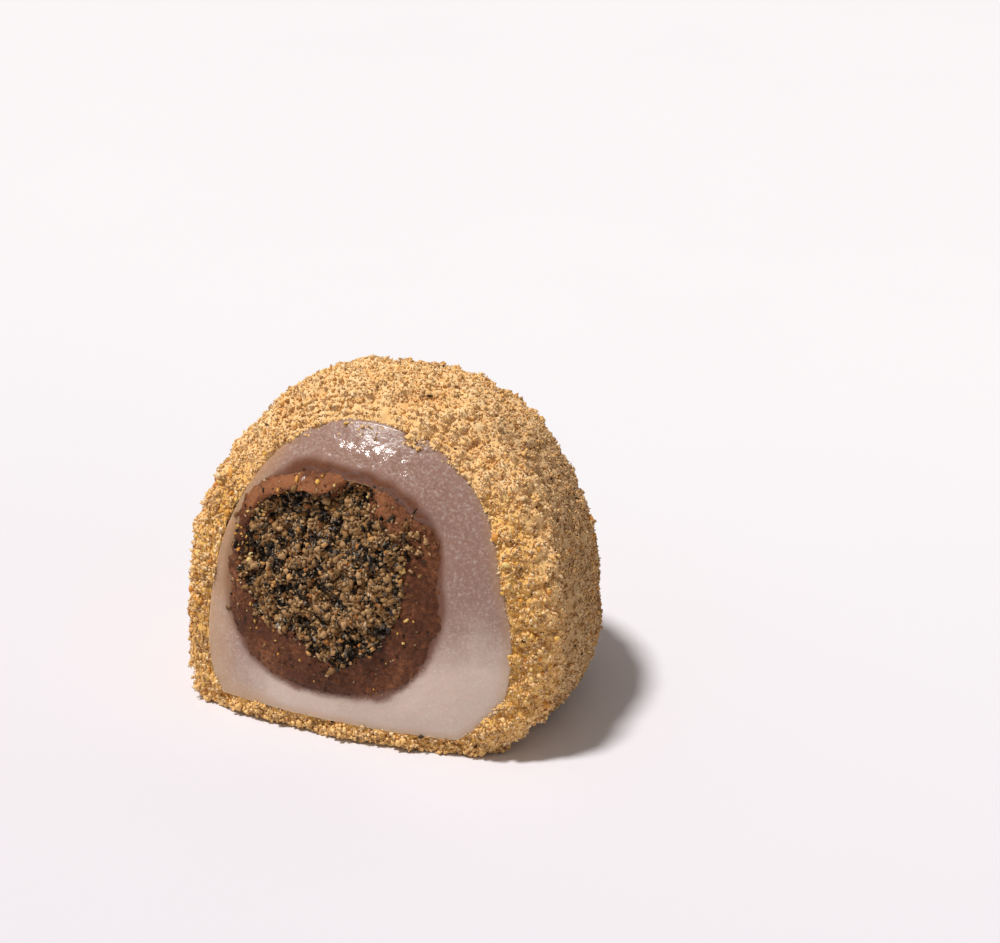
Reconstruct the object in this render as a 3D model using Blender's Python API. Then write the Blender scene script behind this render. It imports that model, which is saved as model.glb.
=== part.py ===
"""A stuffed mochi rice cake with one side cut off, so that its four layers show on the cut.

From outside in: a coat of ground roasted peanut, the glutinous rice dough, a bean paste and a loose
filling of crushed sesame and peanut. The sizes are of the whole ball before the cut, in millimetres.
The ball is pressed flat where it rests. The cut faces -Y and bulges a little, as soft dough does.
The origin is on the table, under the middle of the object's box.
"""

import math

import bmesh
import bpy
import numpy as np

MM = 0.001

# The ball: its reach from its middle to each side, and how square its sections are
BALL_LEFT = 21.6
BALL_RIGHT = 22.6
BALL_FRONT = 22.1
BALL_BACK = 22.4
BALL_UP = 28.6
BALL_DOWN = 17.8
DOWN_TILT = -4.8
MIDDLE_HEIGHT = 9.0
SIDE_SHEAR = 0.02
PLAN_POWER = 2.14
RISE_POWER = 2.07
DENT_DEPTH = 0.22

# The cut: how far it lies in front of the ball's middle, its lean and the radius of its bulge
CUT_OFFSET = 12.9
CUT_LEAN = math.radians(3.5)
CUT_RADIUS = 76.0
KNIFE_SIZE = 64.0
KNIFE_THICKNESS = 30.0

# The layers
COAT_THICKNESS = 2.0
LAYER_GAP = 0.3
PASTE_MIDDLE = (-2.0, -6.0, 17.6)
PASTE_REACH = (12.8, 15.0, 13.4)
PASTE_POWER = 2.2
PASTE_LOBE = 0.25
FILLING_MIDDLE = (-3.0, -7.5, 18.6)
FILLING_REACH = (10.4, 11.0, 10.3)
FILLING_POWER = 2.0
FILLING_LOBE = 0.8
CRUMB_RELIEF = 0.35
CRUMB_PITCH = 2.4

# Fineness of the meshes
FINE_ROUNDS = 5
COARSE_ROUNDS = 4
SMOOTH_CELLS = 18
CRUMBLY_CELLS = 46

# Colour, roughness and metallic value of each layer
FINISHES = {
    "peanut_coat": ((0.72, 0.42, 0.18), 0.95, 0.0),
    "rice_skin": ((0.62, 0.50, 0.45), 0.35, 0.0),
    "bean_paste": ((0.20, 0.075, 0.04), 0.40, 0.0),
    "sesame_filling": ((0.22, 0.14, 0.075), 0.90, 0.0),
}


def clear_scene():
    """Removes every object of the open scene."""
    for old in list(bpy.data.objects):
        bpy.data.objects.remove(old)


def collection(name, in_render):
    """A new collection in the scene."""
    made = bpy.data.collections.new(name)
    made.hide_render = not in_render
    bpy.context.scene.collection.children.link(made)
    return made


def material(name):
    """A Principled BSDF material with the named layer's finish."""
    colour, roughness, metallic = FINISHES[name]
    made = bpy.data.materials.new(name)
    made.use_nodes = True
    shader = made.node_tree.nodes["Principled BSDF"]
    shader.inputs["Base Color"].default_value = (*colour, 1.0)
    shader.inputs["Roughness"].default_value = roughness
    shader.inputs["Metallic"].default_value = metallic
    return made


def dents(way):
    """Shallow hollows and swellings over the ball, as hand rolling leaves them, for unit vectors."""
    x, y, z = way.T
    broad = np.sin(4.1 * x + 2.3 * y + 1.0) * np.cos(3.7 * z - 1.9 * y + 0.4)
    narrow = np.sin(7.3 * y - 5.1 * x + 6.2 * z + 2.0)
    return DENT_DEPTH * (0.6 * broad + 0.4 * narrow)


def ball_points(way, inset):
    """The ball's surface along unit vectors from its middle, moved inwards by inset and pressed flat.

    Each side has its own reach, and the reaches join in a rounded box whose sections follow
    |x/a|^p + |y/b|^p = 1. What would go under the table is pressed up to it.
    """
    x, y, z = way.T
    x = x - SIDE_SHEAR * z
    towards_right = x / np.maximum(np.hypot(x, y), 1e-9)
    across = np.where(x > 0, BALL_RIGHT, BALL_LEFT) - inset
    along = np.where(y > 0, BALL_BACK, BALL_FRONT) - inset
    upright = np.where(z > 0, BALL_UP, BALL_DOWN + DOWN_TILT * towards_right) - inset
    plan = (np.abs(x) / across) ** PLAN_POWER + (np.abs(y) / along) ** PLAN_POWER
    whole = plan ** (RISE_POWER / PLAN_POWER) + (np.abs(z) / upright) ** RISE_POWER
    reach = whole ** (-1 / RISE_POWER) + dents(way)
    points = way * reach[:, None]
    points[:, 2] = np.maximum(points[:, 2] + MIDDLE_HEIGHT, inset)
    return points


def lobes(way):
    """Unevenness of a stuffing from -1 to 1, for unit vectors: fuller at the upper right."""
    x, y, z = way.T
    return 0.55 * (0.5 * x + 0.8 * z) + 0.45 * np.sin(5.0 * x - 3.0 * y + 4.0 * z + 0.8)


def stuffing_points(way, middle, reach, power, lobe, grow):
    """An uneven rounded ball round middle, for unit vectors, made larger all round by grow."""
    whole = (np.abs(way / np.array(reach)) ** power).sum(axis=1)
    return np.array(middle) + way * (whole ** (-1 / power) + lobe * lobes(way) + grow)[:, None]


def shaped_ball(name, rounds, shape, where, parent):
    """A new object: an icosphere whose vertices are moved to shape(unit vectors), in millimetres."""
    bpy.ops.mesh.primitive_ico_sphere_add(subdivisions=rounds, radius=1.0)
    made = bpy.context.object
    made.name = name
    made.data.name = name
    way = np.empty(len(made.data.vertices) * 3)
    made.data.vertices.foreach_get("co", way)
    way = way.reshape(-1, 3)
    way /= np.linalg.norm(way, axis=1)[:, None]
    made.data.vertices.foreach_set("co", (shape(way) * MM).ravel())
    made.data.update()
    return put_in(made, where, parent)


def put_in(made, where, parent):
    """Moves an object into one collection, and parents it."""
    for old in list(made.users_collection):
        old.objects.unlink(made)
    where.objects.link(made)
    made.parent = parent
    return made


def knife(name, size, cells, relief, where, parent):
    """The block of space in front of the cut. Its back face is the bulge of the cut, hollowed into it.

    A flat grid takes the shape of a sphere's cap, leans with the cut, and is drawn out to a block.
    relief is the height of crumbs left standing on the cut.
    """
    bpy.ops.mesh.primitive_grid_add(x_subdivisions=cells, y_subdivisions=cells, size=size)
    made = bpy.context.object
    made.name = name
    outwards = np.array([0.0, -math.cos(CUT_LEAN), math.sin(CUT_LEAN)])
    upwards = np.array([0.0, math.sin(CUT_LEAN), math.cos(CUT_LEAN)])
    flat = np.empty(len(made.data.vertices) * 3)
    made.data.vertices.foreach_get("co", flat)
    across, rise, _ = flat.reshape(-1, 3).T
    fall = CUT_RADIUS - np.sqrt(CUT_RADIUS**2 - across**2 - rise**2)
    turn = 2 * math.pi / CRUMB_PITCH
    crumbs = np.sin(turn * across + np.sin(1.3 * rise)) * np.sin(turn * rise + np.sin(1.7 * across))
    face = np.array([0.0, -CUT_OFFSET, MIDDLE_HEIGHT]) + np.outer(rise, upwards)
    face = face + np.outer(relief * crumbs - fall, outwards)
    face[:, 0] += across
    made.data.vertices.foreach_set("co", (face * MM).ravel())
    shell = bmesh.new()
    shell.from_mesh(made.data)
    drawn = bmesh.ops.extrude_face_region(shell, geom=list(shell.faces))
    front = [item for item in drawn["geom"] if isinstance(item, bmesh.types.BMVert)]
    bmesh.ops.translate(shell, verts=front, vec=outwards * KNIFE_THICKNESS * MM)
    bmesh.ops.recalc_face_normals(shell, faces=list(shell.faces))
    shell.to_mesh(made.data)
    shell.free()
    return put_in(made, where, parent)


def cut_away(part, cutter):
    """Takes the cutter's space out of the part."""
    made = part.modifiers.new("less_" + cutter.name, "BOOLEAN")
    made.operation = "DIFFERENCE"
    made.solver = "EXACT"
    made.object = cutter
    cutter.display_type = "WIRE"
    cutter.hide_render = True


def finish(part):
    """Gives a layer its material and soft shading."""
    part.data.materials.append(material(part.name))
    part.data.shade_smooth()


def paste_shape(grow):
    """The bean paste's outer surface as a function of unit vectors."""
    return lambda way: stuffing_points(way, PASTE_MIDDLE, PASTE_REACH, PASTE_POWER, PASTE_LOBE, grow)


def filling_shape(grow):
    """The loose filling's outer surface as a function of unit vectors."""
    return lambda way: stuffing_points(
        way, FILLING_MIDDLE, FILLING_REACH, FILLING_POWER, FILLING_LOBE, grow
    )


def centre_over_origin(parent, outermost):
    """Moves the parent so that the outermost layer's box stands on the table, centred on the origin."""
    bpy.context.view_layer.update()
    seen = outermost.evaluated_get(bpy.context.evaluated_depsgraph_get())
    corners = np.array([list(corner) for corner in seen.bound_box])
    middle = (corners.min(axis=0) + corners.max(axis=0)) / 2
    parent.location = (-middle[0], -middle[1], 0.0)
    bpy.context.view_layer.update()


def build():
    """Makes the four layers of the cut mochi and the shapes that cut them."""
    clear_scene()
    layers = collection("mochi_rice_cake", in_render=True)
    cutters = collection("cutters", in_render=False)
    middle = bpy.data.objects.new("mochi_middle", None)
    layers.objects.link(middle)

    smooth_cut = knife("smooth_cut", KNIFE_SIZE, SMOOTH_CELLS, 0.0, cutters, middle)
    crumbly_cut = knife("crumbly_cut", KNIFE_SIZE, CRUMBLY_CELLS, CRUMB_RELIEF, cutters, middle)

    coat = shaped_ball("peanut_coat", FINE_ROUNDS, lambda way: ball_points(way, 0.0), layers, middle)
    skin = shaped_ball(
        "rice_skin", COARSE_ROUNDS, lambda way: ball_points(way, COAT_THICKNESS), layers, middle
    )
    paste = shaped_ball("bean_paste", COARSE_ROUNDS, paste_shape(0.0), layers, middle)
    filling = shaped_ball("sesame_filling", COARSE_ROUNDS, filling_shape(0.0), layers, middle)

    skin_room = shaped_ball(
        "skin_room",
        COARSE_ROUNDS,
        lambda way: ball_points(way, COAT_THICKNESS - LAYER_GAP),
        cutters,
        middle,
    )
    paste_room = shaped_ball("paste_room", COARSE_ROUNDS, paste_shape(LAYER_GAP), cutters, middle)
    filling_room = shaped_ball("filling_room", COARSE_ROUNDS, filling_shape(LAYER_GAP), cutters, middle)

    for part, room in ((coat, skin_room), (skin, paste_room), (paste, filling_room)):
        cut_away(part, smooth_cut)
        cut_away(part, room)
    cut_away(filling, crumbly_cut)
    for part in (coat, skin, paste, filling):
        finish(part)
    centre_over_origin(middle, coat)


build()
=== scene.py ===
"""The looks of a cut rice cake: a peanut crumb coat, rice dough, bean paste and a sesame filling.

Forms are worked out in millimetres round the middle of the uncut ball, with the cut facing -Y, and
are then put into the frame. Every surface is a grid of points made with whole arrays.
"""

import itertools
import logging
import math
from dataclasses import dataclass, field
from enum import Enum
from typing import Protocol, Sequence

import bpy
import numpy as np
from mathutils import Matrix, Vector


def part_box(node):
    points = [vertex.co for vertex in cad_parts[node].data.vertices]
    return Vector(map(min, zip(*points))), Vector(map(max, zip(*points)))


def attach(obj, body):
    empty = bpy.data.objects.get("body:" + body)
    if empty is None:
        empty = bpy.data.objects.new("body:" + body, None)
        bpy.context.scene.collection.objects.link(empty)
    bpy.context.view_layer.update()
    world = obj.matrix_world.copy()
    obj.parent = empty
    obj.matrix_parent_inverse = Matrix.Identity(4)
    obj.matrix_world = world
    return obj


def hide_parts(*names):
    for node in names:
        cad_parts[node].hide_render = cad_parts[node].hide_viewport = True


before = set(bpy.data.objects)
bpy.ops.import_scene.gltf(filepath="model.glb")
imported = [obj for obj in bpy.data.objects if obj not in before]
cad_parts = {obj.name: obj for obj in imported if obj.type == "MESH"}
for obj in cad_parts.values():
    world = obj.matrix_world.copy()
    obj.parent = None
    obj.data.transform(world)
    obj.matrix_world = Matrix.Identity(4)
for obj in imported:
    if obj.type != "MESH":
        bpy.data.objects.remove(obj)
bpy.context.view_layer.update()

MM = 0.001
BODY = "root"
Array = np.ndarray
Colour = tuple[float, float, float]
LOG = logging.getLogger("rice_cake")


# ---------------------------------------------------------------- chance and noise


def hashed(cells: Array, seed: int, count: int) -> Array:
    """Random-looking numbers that depend only on a cell and the seed.

    The cell's three whole numbers are each multiplied by a large odd number and mixed bit by bit, and
    each further channel adds a constant before two rounds of shift, mix and multiply.

    Args:
        cells: whole numbers, three to a row.
        seed: tells one pattern from another.
        count: how many numbers to give for each cell.

    Returns:
        Numbers from 0 to 1, count to a row.
    """
    whole = cells.astype(np.int64)
    mixed = whole[..., 0] * 73856093 ^ whole[..., 1] * 19349663 ^ whole[..., 2] * 83492791
    mixed = mixed ^ (seed * 2654435761)
    channels = []
    for channel in range(count):
        value = (mixed + channel * 0x9E3779B9) & 0xFFFFFFFF
        for _ in range(2):
            value = ((value ^ (value >> 16)) * 0x45D9F3B) & 0xFFFFFFFF
        channels.append((value ^ (value >> 16)) / 0xFFFFFFFF)
    return np.stack(channels, axis=-1)


@dataclass(frozen=True)
class Waves:
    """Smooth random swelling with one typical width.

    Attributes:
        pitch: the width of a swelling, in millimetres.
        seed: tells one pattern from another.
    """

    pitch: float
    seed: int

    def at(self, points: Array) -> Array:
        """The swelling's height from -1 to 1.

        Each corner of a cubic lattice has a random height, and the eight round a point are blended
        with weights eased by 3t^2 - 2t^3.

        Args:
            points: places in millimetres, three numbers to a row.

        Returns:
            One height for each point.
        """
        scaled = points / self.pitch
        base = np.floor(scaled)
        part = scaled - base
        ease = part * part * (3 - 2 * part)
        total = np.zeros(points.shape[:-1])
        for corner in itertools.product((0, 1), repeat=3):
            weight = np.prod(np.where(np.array(corner) == 1, ease, 1 - ease), axis=-1)
            total += weight * hashed(base + np.array(corner), self.seed, 1)[..., 0]
        return 2 * total - 1


@dataclass(frozen=True)
class Pebbles:
    """Rounded grains of one typical size, packed at random.

    Attributes:
        pitch: the distance between grains, in millimetres.
        seed: tells one pattern from another.
    """

    pitch: float
    seed: int

    def at(self, points: Array) -> tuple[Array, Array]:
        """The height and the tone of the grain that stands highest at each point.

        Every cell of a cubic lattice holds one grain at a random place, of a random radius r. At a
        distance d its height is 1 - (d/r)^2.

        Args:
            points: places in millimetres, three numbers to a row.

        Returns:
            Heights from 0 to 1, and the grains' own random tones from 0 to 1.
        """
        scaled = points / self.pitch
        base = np.floor(scaled)
        best = np.zeros(points.shape[:-1])
        tone = np.full(points.shape[:-1], 0.5)
        for corner in itertools.product((-1, 0, 1), repeat=3):
            cell = base + np.array(corner)
            chance = hashed(cell, self.seed, 5)
            apart = ((scaled - cell - chance[..., :3]) ** 2).sum(axis=-1)
            height = 1 - apart / (0.55 + 0.4 * chance[..., 3]) ** 2
            higher = height > best
            best = np.where(higher, height, best)
            tone = np.where(higher, chance[..., 4], tone)
        return best, tone


def step(value: Array, low: float, high: float) -> Array:
    """A smooth rise from 0 at low to 1 at high, by 3t^2 - 2t^3."""
    part = np.clip((value - low) / (high - low), 0, 1)
    return part * part * (3 - 2 * part)


def unit(vectors: Array) -> Array:
    """The vectors at length 1."""
    return vectors / np.maximum(np.linalg.norm(vectors, axis=-1, keepdims=True), 1e-12)


# ---------------------------------------------------------------- forms of the layers


class Form(Protocol):
    """A closed rounded body."""

    def depth(self, points: Array) -> Array:
        """How far points lie under the surface, in millimetres, and less than 0 outside it."""


@dataclass(frozen=True)
class Ball:
    """The uncut cake, or the same form a little smaller all round.

    Attributes:
        left, right, front, back, up, down: reach from the middle to each side.
        down_tilt: how much further down the right side would reach than the left.
        height: height of the middle over the table.
        shear: how far the ball leans to the right for each millimetre of height.
        plan_power, rise_power: how square the level and the upright sections are.
        dent: depth of the hollows that hand rolling leaves.
        inset: how much smaller the form is all round.
    """

    left: float = 21.6
    right: float = 22.6
    front: float = 22.1
    back: float = 22.4
    up: float = 28.6
    down: float = 17.8
    down_tilt: float = -4.8
    height: float = 9.0
    shear: float = 0.02
    plan_power: float = 2.14
    rise_power: float = 2.07
    dent: float = 0.22
    inset: float = 0.0

    def smaller(self, inset: float) -> "Ball":
        """The same ball, inset further by some millimetres."""
        return Ball(inset=self.inset + inset)

    def reach(self, way: Array) -> Array:
        """The radius along unit vectors from the middle.

        Each side has its own reach a, and the sections follow |x/a|^p + |y/b|^p = 1. Two sine waves
        add the dents.
        """
        x, y, z = np.moveaxis(way, -1, 0)
        swell = 0.6 * np.sin(4.1 * x + 2.3 * y + 1.0) * np.cos(3.7 * z - 1.9 * y + 0.4)
        swell = swell + 0.4 * np.sin(7.3 * y - 5.1 * x + 6.2 * z + 2.0)
        x = x - self.shear * z
        to_right = x / np.maximum(np.hypot(x, y), 1e-9)
        across = np.where(x > 0, self.right, self.left) - self.inset
        along = np.where(y > 0, self.back, self.front) - self.inset
        upright = np.where(z > 0, self.up, self.down + self.down_tilt * to_right) - self.inset
        plan = (np.abs(x) / across) ** self.plan_power + (np.abs(y) / along) ** self.plan_power
        rise = (np.abs(z) / upright) ** self.rise_power
        whole = plan ** (self.rise_power / self.plan_power) + rise
        return whole ** (-1 / self.rise_power) + self.dent * swell

    def depth(self, points: Array) -> Array:
        """How far points lie under the surface, measured towards the middle or up from the base."""
        arm = points - np.array([0.0, 0.0, self.height])
        under_side = self.reach(unit(arm)) - np.linalg.norm(arm, axis=-1)
        return np.minimum(under_side, points[..., 2] - self.inset)


@dataclass(frozen=True)
class Stuffing:
    """An uneven rounded lump inside the dough.

    Attributes:
        middle: its centre.
        reach: its half sizes along X, Y and Z.
        power: how square its sections are.
        lobe: how uneven it is.
        grow: how much larger the form is all round.
    """

    middle: tuple[float, float, float]
    reach: tuple[float, float, float]
    power: float
    lobe: float
    grow: float = 0.0

    def larger(self, grow: float) -> "Stuffing":
        """The same lump, larger all round by some millimetres."""
        return Stuffing(self.middle, self.reach, self.power, self.lobe, self.grow + grow)

    def depth(self, points: Array) -> Array:
        """How far points lie under the surface, measured towards the lump's middle.

        The surface follows |x/a|^p + |y/b|^p + |z/c|^p = 1, and a slope and a sine wave make it uneven.
        """
        arm = points - np.array(self.middle)
        way = unit(arm)
        x, y, z = np.moveaxis(way, -1, 0)
        uneven = 0.55 * (0.5 * x + 0.8 * z) + 0.45 * np.sin(5.0 * x - 3.0 * y + 4.0 * z + 0.8)
        whole = (np.abs(way / np.array(self.reach)) ** self.power).sum(axis=-1)
        radius = whole ** (-1 / self.power) + self.lobe * uneven + self.grow
        return radius - np.linalg.norm(arm, axis=-1)


@dataclass(frozen=True)
class Cut:
    """The bulging face that the knife left, and how its edge rolls back.

    Attributes:
        offset: distance in front of the ball's middle.
        lean: how far the face leans back, in radians.
        radius: radius of its bulge.
        roll_width: how far in from the dough's edge the roll starts.
        roll_top, roll_side, roll_base: how far the dough's edge lies back at the top, sides and base.
    """

    offset: float = 12.9
    lean: float = math.radians(3.5)
    radius: float = 76.0
    roll_width: float = 6.0
    roll_top: float = 2.8
    roll_side: float = 0.6
    roll_base: float = 0.3

    def plain(self, x: Array, z: Array) -> Array:
        """The face's y at x and z: the front of a sphere of the bulge's radius."""
        out = np.array([0.0, -math.cos(self.lean), math.sin(self.lean)])
        centre = np.array([0.0, -self.offset, BALL.height]) - out * self.radius
        return centre[1] - np.sqrt(self.radius**2 - (x - centre[0]) ** 2 - (z - centre[2]) ** 2)

    def points(self, x: Array, z: Array) -> Array:
        """Points of the face at x and z, its edge rolled back.

        With e the depth under the dough's own surface and w the roll's width, the face lies back by
        A (1 - e/w)^2 where e is from 0 to w, and by A (1 - 2e/w) in the coat, where e is below 0.
        A goes from the base's value to the sides' and the top's.
        """
        flat = np.stack([x, self.plain(x, z), z], axis=-1)
        up = (z - SECTION_HEIGHT) / np.maximum(np.hypot(x, z - SECTION_HEIGHT), 1e-9)
        most = self.roll_side + np.where(up > 0, self.roll_top - self.roll_side, 0) * step(up, 0.1, 0.9)
        most = most + np.where(up < 0, self.roll_base - self.roll_side, 0) * step(-up, 0.3, 0.9)
        share = DOUGH_FORM.depth(flat) / self.roll_width
        flat[..., 1] += most * np.where(share > 0, np.clip(1 - share, 0, 1) ** 2, 1 - 2 * share)
        return flat


SECTION_HEIGHT = 17.5
COAT_THICKNESS = 2.0
BALL = Ball()
DOUGH_FORM = BALL.smaller(COAT_THICKNESS)
PASTE_FORM = Stuffing((-1.8, -6.0, 17.1), (12.9, 15.0, 12.7), 2.3, 0.1)
FILLING_FORM = Stuffing((-3.0, -7.5, 18.6), (10.4, 11.0, 10.3), 2.0, 0.8)
CUT = Cut()


@dataclass(frozen=True)
class CoreEdge:
    """The ragged outline of the filling on the cut.

    Attributes:
        middle: its centre in x and z.
        radius: its usual radius.
        bulges: swellings and notches, each by its direction and width in degrees and its height.
        ragged: how far crumbs break the outline.
    """

    middle: tuple[float, float] = (-3.0, 18.6)
    radius: float = 8.9
    bulges: tuple[tuple[float, float, float], ...] = (
        (69.0, 13.0, 2.7),
        (98.0, 14.0, -0.8),
        (165.0, 38.0, 0.9),
        (-112.0, 20.0, -1.3),
        (-74.0, 13.0, 0.7),
    )
    ragged: float = 0.45

    def reach(self, turns: Array) -> Array:
        """The radius for directions in radians from +X towards +Z: a circle plus bell curves."""
        total = np.full(turns.shape, self.radius)
        for place, width, height in self.bulges:
            apart = np.angle(np.exp(1j * (turns - math.radians(place))))
            total += height * np.exp(-((apart / math.radians(width)) ** 2))
        return total

    def past(self, points: Array) -> Array:
        """How far points of the cut lie outside the outline, less than 0 inside it."""
        x, z = points[..., 0] - self.middle[0], points[..., 2] - self.middle[1]
        breaks = self.ragged * (Waves(1.9, 51).at(points) + 0.6 * Waves(0.9, 52).at(points))
        return np.hypot(x, z) - self.reach(np.arctan2(z, x)) - breaks

    def loop(self, turns: Array, grow: float) -> Array:
        """Points of the outline in x and z, made larger by some millimetres."""
        ways = np.stack([np.cos(turns), np.sin(turns)], axis=-1)
        return np.array(self.middle) + ways * (self.reach(turns) + grow)[:, None]


CORE_EDGE = CoreEdge()


def paste_wobble(points: Array) -> Array:
    """How far the paste's border strays outwards from its even form, in millimetres."""
    flat = points * np.array([1.0, 0.0, 1.0])
    around = np.arctan2(points[..., 2] - PASTE_FORM.middle[2], points[..., 0] - PASTE_FORM.middle[0])
    shoulder = np.exp(-(((around - 2.45) / 0.42) ** 2))
    return 0.42 * Waves(5.0, 55).at(flat) + 0.16 * Waves(1.4, 56).at(flat) - 0.9 * shoulder

# Where the ball's middle lies in the coat's box: a share of its width from the left, and of its depth
MIDDLE_SHARE = (0.4907, 0.3671)


def to_frame(points: Array) -> Array:
    """Points round the ball's middle in millimetres, as frame coordinates in metres."""
    low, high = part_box("peanut_coat")
    side = [low[axis] + share * (high[axis] - low[axis]) for axis, share in enumerate(MIDDLE_SHARE)]
    return points * MM + np.array([side[0], side[1], low[2]])


def reach_along(form: Form, origin: Array, ways: Array, most: float = 60.0) -> Array:
    """Where rays from inside a form leave it, found by halving the interval.

    Args:
        form: the body.
        origin: a point inside it.
        ways: unit vectors.
        most: a length that is surely outside.

    Returns:
        The points on the form's surface.
    """
    near = np.zeros(ways.shape[:-1])
    far = np.full(ways.shape[:-1], most)
    for _ in range(26):
        half = (near + far) / 2
        inside = form.depth(origin + ways * half[..., None]) > 0
        near = np.where(inside, half, near)
        far = np.where(inside, far, half)
    return origin + ways * near[..., None]


def outline(form: Form, centre: tuple[float, float], turns: Array) -> Array:
    """The outline of a form on the plain cut, in x and z, found by halving the interval.

    Args:
        form: the body that is cut.
        centre: x and z of a point inside the outline.
        turns: directions from the centre, in radians from +X towards +Z.

    Returns:
        One pair of x and z for each direction.
    """
    ways = np.stack([np.cos(turns), np.sin(turns)], axis=-1)
    near = np.zeros(len(turns))
    far = np.full(len(turns), 40.0)
    for _ in range(26):
        half = (near + far) / 2
        x, z = (np.array(centre) + ways * half[:, None]).T
        inside = form.depth(np.stack([x, CUT.plain(x, z), z], axis=-1)) > 0
        near = np.where(inside, half, near)
        far = np.where(inside, far, half)
    return np.array(centre) + ways * near[:, None]


def wall(form: Form, start: Array, origin: Array, back: Array, rows: int) -> Array:
    """Rows of points on a form, from the cut to the point furthest back.

    The direction from the origin turns evenly from each start point to the back direction, along the
    great circle through both, and the ray meets the form.

    Args:
        form: the body.
        start: one loop of points near the cut.
        origin: a point inside the form.
        back: the direction of the last point.
        rows: how many loops to make. The first lies one step from the start.

    Returns:
        Points in rows, the last row almost at the back point.
    """
    first = unit(start - origin)
    last = unit(back)
    angle = np.arccos(np.clip((first * last).sum(axis=-1), -1, 1))[None, :, None]
    share = (np.arange(1, rows + 1) / (rows + 0.6))[:, None, None]
    ways = (np.sin((1 - share) * angle) * first + np.sin(share * angle) * last) / np.sin(angle)
    return reach_along(form, origin, unit(ways))


# ---------------------------------------------------------------- meshes


@dataclass
class Sheet:
    """A closed surface: loops of points one after another, with a point at each end.

    Attributes:
        rows: points as rows, columns and coordinates. Each row is a closed loop.
        masks: numbers from 0 to 1 that the finish reads, one for each point.
    """

    rows: Array
    masks: dict[str, Array] = field(default_factory=dict)

    def normals(self) -> Array:
        """Unit normals, pointing out of the body, from the differences between neighbours."""
        along = np.gradient(self.rows, axis=0)
        around = (np.roll(self.rows, -1, axis=1) - np.roll(self.rows, 1, axis=1)) / 2
        out = unit(np.cross(around, along))
        return out if self.volume() > 0 else -out

    def faces(self) -> tuple[Array, Array]:
        """Four-sided faces between the rows, and three-sided ones at the two end points."""
        rows, columns = self.rows.shape[:2]
        number = np.arange(rows * columns).reshape(rows, columns)
        after = np.roll(number, -1, axis=1)
        quads = np.stack([number[:-1], after[:-1], after[1:], number[1:]], axis=-1).reshape(-1, 4)
        first, last = rows * columns, rows * columns + 1
        start = np.stack([after[0], number[0], np.full(columns, first)], axis=-1)
        end = np.stack([number[-1], after[-1], np.full(columns, last)], axis=-1)
        return quads, np.concatenate([start, end])

    def points(self) -> Array:
        """Every point, and after them the mean of the first and of the last row."""
        ends = np.stack([self.rows[0].mean(axis=0), self.rows[-1].mean(axis=0)])
        return np.concatenate([self.rows.reshape(-1, 3), ends])

    def volume(self) -> float:
        """The signed volume, by the sum of the tetrahedra between the faces and the zero point."""
        points = self.points()
        quads, ends = self.faces()
        corners = np.concatenate([quads[:, [0, 1, 2]], quads[:, [0, 2, 3]], ends])
        a, b, c = (points[corners[:, corner]] for corner in range(3))
        return float((a * np.cross(b, c)).sum() / 6)

    def build(self, name: str) -> bpy.types.Object:
        """The surface as an object, its masks as attributes."""
        quads, ends = self.faces()
        if self.volume() < 0:
            quads, ends = quads[:, ::-1], ends[:, ::-1]
        made = mesh_object(name, self.points(), [quads, ends])
        for mask, values in self.masks.items():
            whole = np.concatenate([values.ravel(), [values[0].mean(), values[-1].mean()]])
            add_mask(made, mask, whole)
        made.data.shade_smooth()
        return made


def mesh_object(name: str, points: Array, face_groups: Sequence[Array]) -> bpy.types.Object:
    """A new object in the scene.

    Args:
        name: the piece's name.
        points: places in millimetres round the ball's middle.
        face_groups: arrays of point numbers, each array with one number of sides.

    Returns:
        The object, at the origin, with its place in its mesh.
    """
    mesh = bpy.data.meshes.new(name)
    mesh.vertices.add(len(points))
    mesh.vertices.foreach_set("co", to_frame(points).astype(np.float32).ravel())
    sides = np.concatenate([np.full(len(group), group.shape[1]) for group in face_groups])
    mesh.loops.add(int(sides.sum()))
    mesh.loops.foreach_set("vertex_index", np.concatenate([group.ravel() for group in face_groups]))
    mesh.polygons.add(len(sides))
    mesh.polygons.foreach_set("loop_start", np.concatenate([[0], np.cumsum(sides)[:-1]]))
    mesh.update(calc_edges=True)
    mesh.validate()
    made = bpy.data.objects.new(name, mesh)
    bpy.context.scene.collection.objects.link(made)
    return made


def add_mask(piece: bpy.types.Object, name: str, values: Array) -> None:
    """Stores one number for each point of a piece, for its finish to read."""
    mask = piece.data.attributes.new(name, "FLOAT", "POINT")
    mask.data.foreach_set("value", values.astype(np.float32))


# ---------------------------------------------------------------- loose grains


class GrainShape(Enum):
    """The proportions of a loose grain: length, width and thickness for a mean size of 1."""

    CRUMB = (1.15, 1.0, 0.85)
    FLAKE = (1.35, 1.1, 0.45)
    SEED = (1.6, 0.95, 0.7)


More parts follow.
